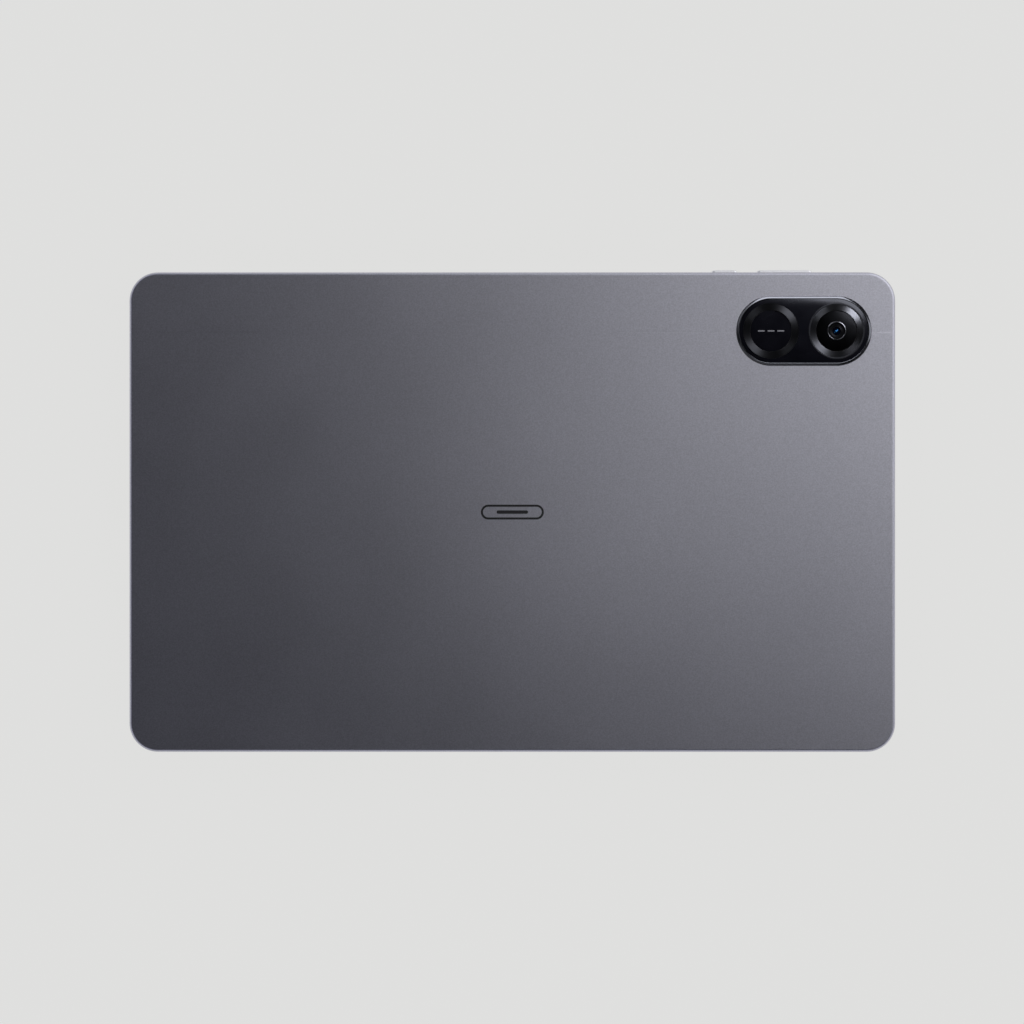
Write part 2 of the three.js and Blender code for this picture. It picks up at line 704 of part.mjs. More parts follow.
function boards() {
  const chip = ({ x, y }, margin) =>
    block(shrink(x, margin), shrink(y, margin), [BOARD_TOP_Z - 0.1, BOARD_TOP_Z + 1]);
  const mainBoard = joined(
    drilled(block(MAIN_BOARD.x, MAIN_BOARD.y, BOARD_Z), MAIN_BOARD_SCREWS),
    chip(PROCESSOR, 4),
    chip(POWER_CHIPS, 5),
  );
  const subBoard = drilled(block(SUB_BOARD.x, SUB_BOARD.y, BOARD_Z), SUB_BOARD_SCREWS);
  const link = joined(
    block([-112, -93], [8, 14], PAD_Z),
    block([-99, -93], [8, 59], PAD_Z),
    block([-99, -35], [53, 59], PAD_Z),
  );
  return [
    piece("main_board", mainBoard, MATERIALS.circuit),
    piece("processor_shield", shieldCan(PROCESSOR), MATERIALS.steel),
    piece("power_shield", shieldCan(POWER_CHIPS), MATERIALS.steel),
    piece("radio_shield", shieldCan(RADIO), MATERIALS.steel),
    piece("usb_board", subBoard, MATERIALS.circuit),
    piece("board_link_flex", link, MATERIALS.flex),
  ];
}

function screws() {
  const headZ = BOARD_TOP_Z + AIR;
  const all = [...MAIN_BOARD_SCREWS, ...SUB_BOARD_SCREWS];
  return all.map(([x, y], i) => {
    const shank = cylinder(SCREW.shankR, SCREW.tipZ, headZ + 0.2, x, y, 8);
    const head = cylinder(SCREW.headR, headZ, headZ + SCREW.headT, x, y);
    return piece(`board_screw_${i + 1}`, joined(shank, head), MATERIALS.steel);
  });
}

function battery() {
  const top = CELL.bottomZ + CELL.thickness;
  const edge = 0.5;
  const cellAt = (y) => {
    const outline = (inset) =>
      roundedRect(CELL.length - 2 * inset, CELL.width - 2 * inset, 2 - inset, CELL.x, y)
        .getPoints(1);
    return stack(outline, [
      [edge, CELL.bottomZ],
      [0, CELL.bottomZ + edge],
      [0, top - edge],
      [edge, top],
    ]);
  };
  const protection = block([40, 80], [41.2, 44.6], [CELL.bottomZ, 4.4]);
  const sheet = joined(
    block([-86, 96], [-76, 42], [5.93, 6.01]),
    block([-36, 70], [41, 75], [5.93, 6.01]),
  );
  return [
    piece("battery_cell_lower", cellAt(CELL_Y[0]), MATERIALS.battery),
    piece("battery_cell_upper", cellAt(CELL_Y[1]), MATERIALS.battery),
    piece("battery_protection_board", protection, MATERIALS.circuit),
    piece("battery_flex", block([47, 54], [44.75, 52], PAD_Z), MATERIALS.flex),
    piece("graphite_sheet", sheet, MATERIALS.graphite),
  ];
}

// ---------- Connector, microphone and speakers ----------

function usbPort() {
  const x0 = -LENGTH / 2 + 0.1;
  const [mouthX, backX] = [x0, x0 + USB.depth];
  const tube = prismAlongX(usbOutline(0), mouthX, backX, 5);
  const bore = prismAlongX(usbOutline(-USB.wall), mouthX - 1, backX - 0.4, 5);
  const tongue = block(
    [mouthX + 0.6, backX - 0.5],
    [-USB.tongueWidth / 2, USB.tongueWidth / 2],
    [EDGE_MID_Z - USB.tongueT / 2, EDGE_MID_Z + USB.tongueT / 2],
  );
  return [
    piece("usb_shell", cut(tube, bore), MATERIALS.steel),
    piece("usb_tongue", tongue, MATERIALS.blackPlastic),
  ];
}

function speakers() {
  const rimX = LENGTH / 2;
  const meshX = rimX - SHELL_WALL - 0.1;
  const bottomZ = DECK_Z + AIR;
  const sideNames = { "-1": "left", 1: "right" };
  const rowNames = { "-1": "lower", 1: "upper" };
  const pieces = [];
  for (const side of SHORT_WALLS) {
    for (const row of SPEAKER_ROWS) {
      const name = `${sideNames[side]}_${rowNames[row]}`;
      const y = row * GRILLE.y;
      const span = ([a, b]) => [side * a, side * b].sort((p, q) => p - q);
      const bodyX = span([rimX - SPEAKER.wallGap - SPEAKER.width, rimX - SPEAKER.wallGap]);
      const half = SPEAKER.length / 2;
      const box = joined(
        block(bodyX, [y - half, y + half], [bottomZ, bottomZ + SPEAKER.height]),
        block(span([rimX - SPEAKER.wallGap - 0.1, meshX - 0.3]), [y - 12, y + 12], [bottomZ, 4.45]),
      );
      const grille = block(span([meshX - FLEX_T, meshX]), [y - 12.3, y + 12.3], [2.45, 4.55]);
      pieces.push(piece(`speaker_${name}`, box, MATERIALS.blackPlastic));
      pieces.push(piece(`speaker_mesh_${name}`, grille, MATERIALS.steel));
    }
  }
  return pieces;
}

function microphone() {
  const x = -LENGTH / 2 + RIM_INSET + RIM_WALL + 0.25;
  const body = block([x, x + 3], [MICROPHONE_Y - 1.5, MICROPHONE_Y + 1.5], [DECK_Z, DECK_Z + 1]);
  return [piece("microphone", body, MATERIALS.gold)];
}

// ---------- Assembly ----------

const tablet = new THREE.Group();
tablet.name = "tablet";
tablet.add(
  ...rearHousing(),
  ...midFrame(),
  ...display(),
  ...cameraSurround(),
  ...cameraEyes(),
  ...cameraModule(),
  ...sideKeys(),
  ...boards(),
  ...screws(),
  ...battery(),
  ...usbPort(),
  ...microphone(),
  ...speakers(),
);

export default tablet;
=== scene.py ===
"""The looks of a tablet computer that lies on its screen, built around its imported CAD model.

Metres. +Z points out of the rear cover, +X along the long side, +Y towards the edge with the keys.
"""
import json
import math

import bmesh
import bpy
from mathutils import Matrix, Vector


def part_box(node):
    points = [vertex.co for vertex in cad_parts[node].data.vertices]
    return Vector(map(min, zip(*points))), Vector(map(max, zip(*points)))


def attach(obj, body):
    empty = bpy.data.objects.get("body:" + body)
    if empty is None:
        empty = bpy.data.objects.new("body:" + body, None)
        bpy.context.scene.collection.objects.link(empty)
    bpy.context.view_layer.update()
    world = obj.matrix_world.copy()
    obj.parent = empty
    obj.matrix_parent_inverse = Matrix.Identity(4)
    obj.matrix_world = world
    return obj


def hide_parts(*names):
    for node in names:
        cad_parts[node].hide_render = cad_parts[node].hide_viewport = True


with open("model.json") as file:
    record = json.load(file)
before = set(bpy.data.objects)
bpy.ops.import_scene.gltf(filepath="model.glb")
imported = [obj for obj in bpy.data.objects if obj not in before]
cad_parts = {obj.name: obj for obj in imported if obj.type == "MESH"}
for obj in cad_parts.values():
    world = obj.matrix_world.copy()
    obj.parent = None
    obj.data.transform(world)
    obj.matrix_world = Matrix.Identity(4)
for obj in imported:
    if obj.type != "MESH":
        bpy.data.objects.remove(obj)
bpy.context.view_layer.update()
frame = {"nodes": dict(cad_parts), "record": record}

MM = 0.001
BODY = "housing"


# ---------- Places and sizes, from the frame ----------

def middle(node):
    low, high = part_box(node)
    return (low + high) / 2


def extent(node):
    low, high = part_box(node)
    return high - low


SHELL_LOW, SHELL_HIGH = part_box("rear_shell")
CAP_LOW, CAP_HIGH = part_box("antenna_cap")
LENGTH = SHELL_HIGH.x - SHELL_LOW.x
WIDTH = CAP_HIGH.y - SHELL_LOW.y
BACK_Z = SHELL_HIGH.z
FRONT_Z = SHELL_LOW.z
EDGE_MID_Z = middle("usb_shell").z
SEAM_Y = (SHELL_HIGH.y + CAP_LOW.y) / 2

CAMERA = middle("camera_frame")
CAMERA_SIZE = extent("camera_frame")
CAMERA_LOW, CAMERA_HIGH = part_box("camera_frame")
DECOR = middle("decor_ring")
LENS = middle("lens_ring")


# ---------- Sizes that the frame's boxes don't give ----------

CORNER_R = 10 * MM
WALL = 1.2 * MM
SHELL_BACK = 0.8 * MM
HOLLOW_R = 0.6 * MM
REAR_EDGE_R = 1.0 * MM
FRONT_EDGE_R = 0.15 * MM
SEAM_GAP = 0.006 * MM
SEAM_GROOVE_WIDTH = 0.7 * MM
SEAM_GROOVE_DEPTH = 0.02 * MM
CAMERA_HOLE_INSET = 1.0 * MM

# Openings in the walls. A cutter runs past what it cuts by OVERRUN.
OVERRUN = 1 * MM
FIT = 0.15 * MM
MOUTH_FLARE = 0.12 * MM
MOUTH_DEPTH = WALL + 0.5 * MM
PIN_HOLE_R = 0.5 * MM
MICROPHONE_Y = middle("microphone").y
GRILLE_Y = abs(middle("speaker_mesh_left_upper").y)
GRILLE_SLOTS = 5
GRILLE_PITCH = 4.9 * MM
SLOT_LENGTH = 4.0 * MM
SLOT_HEIGHT = 1.2 * MM

# Keys: the cap starts KEY_ROOT behind the wall. The flange there reaches past it at both ends, and
# starts KEY_CLEAR in front of the CAD key's back.
KEY_HEIGHT = 2.2 * MM
KEY_FLANGE = 0.5 * MM
KEY_CLEAR = 0.5 * MM
KEY_ROOT = 0.35 * MM
KEY_SLOPE = 0.95 * MM
KEY_CROWN = 0.6 * MM
KEYS = {
    name: {"x": middle(name).x, "length": extent(name).x - 2 * KEY_FLANGE}
    for name in ("power_key", "volume_key")
}

# Camera surround: the insets of its foot, rim and seat from the outline, and the widths of its lip,
# bevel and crest, with the slopes of the first two.
SURROUND_FOOT = 1.1 * MM
SURROUND_RIM = 1.04 * MM
SURROUND_SEAT = 2.0 * MM
SURROUND_LIP = 0.28 * MM
SURROUND_BEVEL = 0.6 * MM
SURROUND_CREST = 0.1 * MM
LIP_SLOPE, BEVEL_FOOT_SLOPE, BEVEL_TOP_SLOPE = (math.tan(math.radians(a)) for a in (35, 24, 8))

# Camera window: it stands clear of the surround, and its surface falls away towards its edge.
WINDOW_TOP_Z = CAMERA_HIGH.z + 0.12 * MM
WINDOW_INSET = SURROUND_RIM + 0.04 * MM
WINDOW_FALL_WIDTH = 2.7 * MM
WINDOW_EDGE_SLOPE = math.tan(math.radians(9.7))

# The two eyes.
DECOR_RING_INNER = 7.3 * MM
LENS_RING_OUTER = 9.27 * MM
LENS_RING_INNER = 7.2 * MM
COLLAR_OUTER = 9.85 * MM
BEAD_R = 3.02 * MM
BEAD_OUTER = 0.33 * MM
BEAD_INNER = 0.14 * MM
BEAD_HEIGHT = 0.13 * MM
PANE_HOLE_R = BEAD_R + 0.1 * MM
PANE_TOP_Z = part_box("lens_ring")[1].z - 0.05 * MM
PANE_DOME_R = 50 * MM
CLEAR_THICKNESS = 0.4 * MM

# Focusing barrel: at the end of its travel it stays BARREL_GAP or more below the clear glass.
BARREL_GAP = 0.2 * MM
FOCUS_TRAVEL = 0.3 * MM
BARREL_BORE = 1.5 * MM
BARREL_TOP_Z = PANE_TOP_Z - BARREL_GAP - CLEAR_THICKNESS - FOCUS_TRAVEL

# Prints of ink lie this far above their surface.
INK_LIFT = 0.005 * MM

# Screen side.
DISPLAY_SIZE = (250.5 * MM, 150.3 * MM)
DISPLAY_CORNER_R = 3 * MM
FRONT_EYE_R = 1.6 * MM


# ---------- Outlines: each is a function from an inset to a list of points ----------

def rounded_rect(length, width, radius, centre=(0.0, 0.0), arc_steps=24):
    """A rectangle with round corners, anticlockwise from the lower right one."""
    def points(inset=0.0):
        outline = []
        for corner, (side_x, side_y) in enumerate(((1, -1), (1, 1), (-1, 1), (-1, -1))):
            x = centre[0] + side_x * (length / 2 - radius)
            y = centre[1] + side_y * (width / 2 - radius)
            for step in range(arc_steps + 1):
                angle = (corner - 1 + step / arc_steps) * math.pi / 2
                reach = radius - inset
                outline.append((x + reach * math.cos(angle), y + reach * math.sin(angle)))
        return outline
    return points


def stadium(length, width, centre=(0.0, 0.0), arc_steps=16):
    """An upright one is drawn when width is larger than length."""
    return rounded_rect(length, width, min(length, width) / 2, centre, arc_steps)


def circle(radius, centre=(0.0, 0.0), arc_steps=16):
    return rounded_rect(2 * radius, 2 * radius, radius, centre, arc_steps)


def diamond(length, width, centre):
    """Four corners, one on each axis."""
    def points(inset=0.0):
        steps = ((1, 0), (0, 1), (-1, 0), (0, -1))
        return [(centre[0] + side_x * (length / 2 - inset), centre[1] + side_y * (width / 2 - inset))
                for side_x, side_y in steps]
    return points


# ---------- Mesh building ----------

MERGE_DISTANCE = 1e-7


def along_z(x, y, level):
    return (x, y, level)


def along_y(x, z, level):
    """For an outline drawn in X and Z, with its levels along Y."""
    return (x, level, z)


def along_x(side):
    """For an outline drawn in Y and Z, with its levels along X, on the left or right side."""
    def place(y, z, level):
        return (side * level, y, z)
    return place


def new_piece(name, mesh):
    piece = bpy.data.objects.new(name, mesh)
    bpy.context.scene.collection.objects.link(piece)
    return piece


def loft(name, outline, levels, place=along_z, ring=False):
    """Skins one outline at each (inset, level). A ring closes on itself, other solids get end caps."""
    bm = bmesh.new()
    loops = [[bm.verts.new(place(x, y, level)) for x, y in outline(inset)] for inset, level in levels]
    pairs = list(zip(loops, loops[1:]))
    if ring:
        pairs.append((loops[-1], loops[0]))
    else:
        bm.faces.new(loops[0])
        bm.faces.new(loops[-1])
    for lower, upper in pairs:
        for i, vertex in enumerate(lower):
            j = (i + 1) % len(lower)
            bm.faces.new((vertex, lower[j], upper[j], upper[i]))
    bmesh.ops.remove_doubles(bm, verts=bm.verts, dist=MERGE_DISTANCE)
    bmesh.ops.recalc_face_normals(bm, faces=bm.faces)
    mesh = bpy.data.meshes.new(name)
    bm.to_mesh(mesh)
    bm.free()
    return new_piece(name, mesh)


def lathe(name, centre, profile, arc_steps=24):
    """Turns a closed profile of (radius, z) points about a Z axis through centre."""
    levels = [(-radius, z) for radius, z in profile]
    return loft(name, circle(0.0, (centre.x, centre.y), arc_steps), levels, ring=True)


def bake_modifiers(piece):
    evaluated = piece.evaluated_get(bpy.context.evaluated_depsgraph_get())
    mesh = bpy.data.meshes.new_from_object(evaluated)
    piece.modifiers.clear()
    piece.data = mesh
    return piece


def combine(piece, tools, operation):
    """Cuts, joins or intersects a piece with tool pieces, and removes the tools."""
    for tool in tools:
        modifier = piece.modifiers.new("boolean", "BOOLEAN")
        modifier.operation = operation
        modifier.solver = "EXACT"
        modifier.object = tool
    bake_modifiers(piece)
    for tool in tools:
        bpy.data.objects.remove(tool)
    return piece


def smooth(piece, sharp_degrees=32.0, area_weight=100):
    """Smooth shading that keeps flat faces flat and sharp edges sharp."""
    mesh = piece.data
    mesh.polygons.foreach_set("use_smooth", [True] * len(mesh.polygons))
    mesh.set_sharp_from_angle(angle=math.radians(sharp_degrees))
    weighted = piece.modifiers.new("weighted_normals", "WEIGHTED_NORMAL")
    weighted.keep_sharp = True
    weighted.weight = area_weight
    return bake_modifiers(piece)


def finish_piece(piece, material, slot, body, *nodes):
    """Gives a piece its material and body, and hides the CAD nodes that it stands for."""
    smooth(piece)
    piece.data.materials.clear()
    piece.data.materials.append(material)
    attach(piece, body)
    if nodes:
        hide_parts(*nodes)


def rounded_top(reach, height, top_z, steps=8):
    """Levels of a quarter round that ends at top_z, reach wide and height tall."""
    angles = [step / steps * math.pi / 2 for step in range(steps + 1)]
    return [(reach * (1 - math.cos(a)), top_z - height + height * math.sin(a)) for a in angles]


def rounded_bottom(reach, height, bottom_z, steps=4):
    """Levels of a quarter round that starts at bottom_z."""
    angles = [step / steps * math.pi / 2 for step in range(steps + 1)]
    return [(reach * (1 - math.sin(a)), bottom_z + height * (1 - math.cos(a))) for a in angles]


# ---------- Materials ----------

class Nodes:
    """A small wrapper that keeps node code short."""

    def __init__(self, name):
        self.material = bpy.data.materials.new(name)
        self.material.use_nodes = True
        self.tree = self.material.node_tree
        self.shader = self.tree.nodes["Principled BSDF"]

    def add(self, kind, **settings):
        node = self.tree.nodes.new(kind)
        for key, value in settings.items():
            if key in node.inputs:
                node.inputs[key].default_value = value
            else:
                setattr(node, key, value)
        return node

    def link(self, output, target):
        self.tree.links.new(output, target)

    def set(self, **values):
        for key, value in values.items():
            self.shader.inputs[key.replace("_", " ")].default_value = value

    def object_space(self):
        return self.add("ShaderNodeTexCoord").outputs["Object"]

    def noise(self, feature, detail=3.0, vector=None):
        """Noise whose features are about `feature` metres across."""
        node = self.add("ShaderNodeTexNoise", Scale=1 / feature, Detail=detail)
        self.link(vector or self.object_space(), node.inputs["Vector"])
        return node.outputs["Fac"]

    def remap(self, value, low, high):
        node = self.add("ShaderNodeMapRange")
        node.inputs["To Min"].default_value = low
        node.inputs["To Max"].default_value = high
        self.link(value, node.inputs["Value"])
        return node.outputs["Result"]

    def tint(self, value, dark, light, start=0.3, end=0.7):
        """Colours a value between two colours."""
        ramp = self.add("ShaderNodeValToRGB")
        for element, position, colour in zip(ramp.color_ramp.elements, (start, end), (dark, light)):
            element.position = position
            element.color = (*colour, 1)
        self.link(value, ramp.inputs["Fac"])
        return ramp.outputs["Color"]

    def bump(self, height, depth, strength=1.0):
        node = self.add("ShaderNodeBump", Strength=strength, Distance=depth)
        self.link(height, node.inputs["Height"])
        self.link(node.outputs["Normal"], self.shader.inputs["Normal"])

    def colour_from(self, socket):
        self.link(socket, self.shader.inputs["Base Color"])

    def vary_colour(self, value, colour, share):
        """Lets a value darken or lighten a colour by up to a share of it."""
        self.colour_from(self.tint(value, shade(colour, 1 - share), shade(colour, 1 + share)))

    def vary_roughness(self, value, roughness, reach):
        varied = self.remap(value, roughness - reach, roughness + reach)
        self.link(varied, self.shader.inputs["Roughness"])


def shade(colour, factor):
    return tuple(channel * factor for channel in colour)


def blasted_metal(name, colour, roughness, contrast=0.12):
    """Bead-blasted metal: a fine grain in colour and height, and broad drifts in gloss."""
    nodes = Nodes(name)
    nodes.set(Metallic=1.0)
    grain = nodes.noise(0.45 * MM, detail=4.0)
    drifts = nodes.noise(30 * MM, detail=1.0)
    nodes.vary_colour(grain, colour, contrast)
    nodes.vary_roughness(drifts, roughness, 0.015)
    nodes.bump(grain, depth=0.01 * MM, strength=0.25)
    return nodes.material


def moulded(name, colour, roughness, feature=0.3 * MM):
    """Moulded or painted plastic with a fine texture."""
    nodes = Nodes(name)
    grain = nodes.noise(feature)
    nodes.vary_colour(grain, colour, 0.15)
    nodes.vary_roughness(grain, roughness, 0.05)
    nodes.bump(grain, depth=0.01 * MM, strength=0.3)
    return nodes.material


def black_glass(name, colour, roughness, gloss=0.5):
    """Glass printed black behind, with faint smudges in its gloss. Coated glass has less gloss."""
    nodes = Nodes(name)
    nodes.set(Specular_IOR_Level=gloss)
    smudges = nodes.noise(6 * MM, detail=2.0)
    nodes.colour_from(nodes.tint(smudges, colour, shade(colour, 1.3)))
    nodes.vary_roughness(smudges, roughness, 0.3 * roughness)
    return nodes.material


def thin_glass(name, colour, cover):
    """A thin coated window: `cover` of it hides what is below, and the rest is see-through."""
    nodes = Nodes(name)
    nodes.set(Alpha=cover)
    smudges = nodes.noise(2 * MM, detail=1.0)
    nodes.colour_from(nodes.tint(smudges, colour, shade(colour, 1.5)))
    nodes.vary_roughness(smudges, 0.045, 0.015)
    return nodes.material


def clear_glass(name, tint, roughness=0.02):
    """Polished glass with a faint tint."""
    nodes = Nodes(name)
    nodes.set(Transmission_Weight=1.0, IOR=1.5)
    smudges = nodes.noise(4 * MM, detail=2.0)
    nodes.colour_from(nodes.tint(smudges, shade(tint, 0.97), tint))
    nodes.vary_roughness(smudges, roughness, 0.5 * roughness)
    return nodes.material


def turned_metal(name, colour, roughness, anisotropy):
    """Metal turned on a lathe: its gloss stretches across fine rings round the piece's own middle."""
    nodes = Nodes(name)
    nodes.set(Metallic=1.0, Anisotropic=anisotropy, Anisotropic_Rotation=0.25)
    tangent = nodes.add("ShaderNodeTangent", direction_type="RADIAL", axis="Z")
    nodes.link(tangent.outputs["Tangent"], nodes.shader.inputs["Tangent"])
    grain = nodes.noise(0.12 * MM)
    nodes.vary_colour(grain, colour, 0.1)
    nodes.vary_roughness(grain, roughness, 0.03)
    return nodes.material


def coated_lens(name):
    """A nearly black front element whose coating reflects blue."""
    nodes = Nodes(name)
    nodes.set(Specular_IOR_Level=0.3, Specular_Tint=(0.1, 0.45, 1.0, 1.0))
    swirl = nodes.noise(1.5 * MM, detail=1.0)
    nodes.colour_from(nodes.tint(swirl, (0.0001, 0.0001, 0.0003), (0.0002, 0.0001, 0.0003)))
    nodes.vary_roughness(swirl, 0.09, 0.01)
    return nodes.material


def stamped_steel(name, colour=(0.55, 0.55, 0.56), roughness=0.35):
    """Sheet metal with streaks from the rolling mill."""
    nodes = Nodes(name)
    nodes.set(Metallic=1.0)
    stretch = nodes.add("ShaderNodeMapping")
    stretch.inputs["Scale"].default_value = (1, 12, 1)
    nodes.link(nodes.object_space(), stretch.inputs["Vector"])
    streaks = nodes.noise(1.5 * MM, vector=stretch.outputs["Vector"])
    nodes.vary_colour(streaks, colour, 0.1)
    nodes.vary_roughness(streaks, roughness, 0.06)
    return nodes.material


def woven_mesh(name, pitch=0.25 * MM):
    """Fine woven dust mesh: black holes between dark grey wires."""
    nodes = Nodes(name)
    cells = nodes.add("ShaderNodeTexVoronoi", Scale=1 / pitch)
    cells.inputs["Randomness"].default_value = 0.0
    nodes.link(nodes.object_space(), cells.inputs["Vector"])
    from_hole = cells.outputs["Distance"]
    nodes.set(Roughness=0.55)
    nodes.colour_from(nodes.tint(from_hole, (0.001, 0.001, 0.001), (0.05, 0.05, 0.055)))
    nodes.bump(from_hole, depth=0.05 * MM)
    return nodes.material


def circuit_board(name):
    """Green solder mask over paler copper routes."""
    nodes = Nodes(name)
    nodes.set(Roughness=0.4)
    routes = nodes.add("ShaderNodeTexBrick", Scale=1 / (2.4 * MM))
    routes.inputs["Color1"].default_value = (0.01, 0.09, 0.035, 1)
    routes.inputs["Color2"].default_value = (0.008, 0.07, 0.028, 1)
    routes.inputs["Mortar"].default_value = (0.02, 0.17, 0.07, 1)
    routes.inputs["Mortar Size"].default_value = 0.04
    nodes.link(nodes.object_space(), routes.inputs["Vector"])
    nodes.colour_from(routes.outputs["Color"])
    nodes.bump(routes.outputs["Fac"], depth=0.03 * MM)
    return nodes.material


def flexible_circuit(name):
    """Amber film over parallel copper tracks."""
    nodes = Nodes(name)
    tracks = nodes.add("ShaderNodeTexWave", Scale=1 / (6 * MM), bands_direction="DIAGONAL")
    nodes.link(nodes.object_space(), tracks.inputs["Vector"])
    nodes.set(Roughness=0.35)
    nodes.colour_from(nodes.tint(tracks.outputs["Fac"], (0.3, 0.11, 0.015), (0.5, 0.22, 0.04)))
    nodes.bump(tracks.outputs["Fac"], depth=0.02 * MM)
    return nodes.material


def crinkled_wrap(name, colour, roughness=0.45, feature=5 * MM):
    """Foil or film with soft creases."""
    nodes = Nodes(name)
    creases = nodes.noise(feature, detail=5.0)
    nodes.vary_colour(creases, colour, 0.2)
    nodes.vary_roughness(creases, roughness, 0.1)
    nodes.bump(creases, depth=0.15 * MM, strength=0.5)
    return nodes.material


def optical_film(name):
    """Frosted film that lets some light through."""
    nodes = Nodes(name)
    frost = nodes.noise(0.4 * MM)
    nodes.set(Transmission_Weight=0.3)
    nodes.colour_from(nodes.tint(frost, (0.78, 0.8, 0.83), (0.88, 0.9, 0.92)))
    nodes.vary_roughness(frost, 0.4, 0.1)
    return nodes.material


BODY_GREY = (0.525, 0.525, 0.59)
KEY_SILVER = (0.8, 0.8, 0.82)
SATIN = 0.389

MATERIALS = {
    "aluminium_shell": blasted_metal("blasted_aluminium", BODY_GREY, SATIN),
    "painted_cap": blasted_metal("metallic_paint", BODY_GREY, SATIN),
    "key_metal": blasted_metal("key_aluminium", KEY_SILVER, 0.35, contrast=0.04),
    "frame_black": moulded("frame_moulding", (0.012, 0.012, 0.013), 0.5),
    "screen_glass": clear_glass("screen_glass", (0.96, 0.97, 0.98)),
    "camera_black_glass": black_glass("camera_glass", (0.0045, 0.0045, 0.0065), 0.25),
    "camera_dark_metal": turned_metal("camera_frame_metal", (0.045, 0.045, 0.045), 0.16, 0.0),
    "lens_ring_metal": turned_metal("lens_ring_metal", (0.013, 0.013, 0.013), 0.42, 0.93),
    "lens_glass": clear_glass("lens_glass", (0.9, 0.93, 0.97)),
    "inner_black": moulded("inner_moulding", (0.003, 0.003, 0.003), 0.45),
    "foam": moulded("foam", (0.01, 0.01, 0.01), 0.9, feature=0.5 * MM),
    "lcd": black_glass("polariser", (0.012, 0.012, 0.015), 0.25),
    "white_film": optical_film("optical_film"),
    "steel": stamped_steel("stamped_steel"),
    "dark_mesh": woven_mesh("dust_mesh"),
    "flex_circuit": flexible_circuit("flexible_circuit"),
    "circuit_board": circuit_board("solder_mask"),
    "chip_black": moulded("moulded_epoxy", (0.012, 0.012, 0.013), 0.4, feature=0.15 * MM),
    "gold_can": stamped_steel("gold_plate", (0.75, 0.5, 0.16), 0.25),
    "battery_pouch": crinkled_wrap("battery_wrap", (0.03, 0.03, 0.033)),
    "graphite": crinkled_wrap("graphite_film", (0.05, 0.05, 0.055), 0.35, 2 * MM),
}
DECOR_METAL = turned_metal("decor_ring_metal", (0.012, 0.012, 0.012), 0.45, 0.9)
COLLAR_METAL = turned_metal("collar_metal", (0.05, 0.05, 0.052), 0.5, 0.0)
BARREL_BLACK = black_glass("barrel_black", (0.002, 0.002, 0.002), 0.4, gloss=0.2)
WINDOW_GLASS = thin_glass("lens_window_glass", (0.001, 0.001, 0.0015), cover=0.12)
LENS_PANE = black_glass("lens_pane_glass", (0.0001, 0.0001, 0.0001), 0.2, gloss=0.3)
BEAD_BLACK = black_glass("bead_gloss", (0.0002, 0.0002, 0.0002), 0.2, gloss=0.2)
INK = moulded("printed_ink", (0.006, 0.006, 0.007), 0.5)
PALE_INK = moulded("pale_ink", (0.25, 0.25, 0.27), 0.5)


# ---------- Rear shell and antenna cap ----------

def mouth(name, outline, face, place, depth):
    """A cutter that opens a wall whose outer face is at `face`, with a small flare at the mouth."""
    levels = [
        (-MOUTH_FLARE, face + OVERRUN),
        (-MOUTH_FLARE, face),
        (0.0, face - MOUTH_FLARE),
        (0.0, face - depth),
    ]
    return loft(name, outline, levels, place)


def wall_cutters():
    """Grille slots, connector mouth, microphone hole, key slots and the seam's fine groove."""
    cutters = []
    for side in (-1, 1):
        for row in (-1, 1):
            for slot in range(GRILLE_SLOTS):
                y = row * GRILLE_Y + (slot - (GRILLE_SLOTS - 1) / 2) * GRILLE_PITCH
                outline = stadium(SLOT_LENGTH, SLOT_HEIGHT, (y, EDGE_MID_Z), arc_steps=8)
                cutters.append(mouth("slot", outline, LENGTH / 2, along_x(side), MOUTH_DEPTH))
    usb = extent("usb_shell")
    port = stadium(usb.y + 2 * FIT, usb.z + 2 * FIT, (middle("usb_shell").y, EDGE_MID_Z))
    cutters.append(mouth("port", port, LENGTH / 2, along_x(-1), MOUTH_DEPTH))
    pin_hole = circle(PIN_HOLE_R, (MICROPHONE_Y, EDGE_MID_Z), arc_steps=8)
    cutters.append(mouth("pin_hole", pin_hole, LENGTH / 2, along_x(-1), MOUTH_DEPTH))
    for key in KEYS.values():
        opening = stadium(key["length"] + 2 * FIT, KEY_HEIGHT + 2 * FIT, (key["x"], EDGE_MID_Z))
        cutters.append(mouth("key_slot", opening, WIDTH / 2, along_y, MOUTH_DEPTH))
    seam = diamond(SEAM_GROOVE_WIDTH, 2 * SEAM_GROOVE_DEPTH, (SEAM_Y, BACK_Z))
    cutters.append(loft("seam_groove", seam, [(0.0, -LENGTH), (0.0, LENGTH)], along_x(1)))
    return cutters


def join_cutters(cutters):
    """One object with every cutter as a separate island."""
    bm = bmesh.new()
    for cutter in cutters:
        bm.from_mesh(cutter.data)
        bpy.data.objects.remove(cutter)
    mesh = bpy.data.meshes.new("cutters")
    bm.to_mesh(mesh)
    bm.free()
    return new_piece("cutters", mesh)


def block(name, low, high):
    """A box between two corners."""
    outline = rounded_rect(high[0] - low[0], high[1] - low[1], 0.0,
                           ((low[0] + high[0]) / 2, (low[1] + high[1]) / 2), arc_steps=1)
    return loft(name, outline, [(0.0, low[2]), (0.0, high[2])])


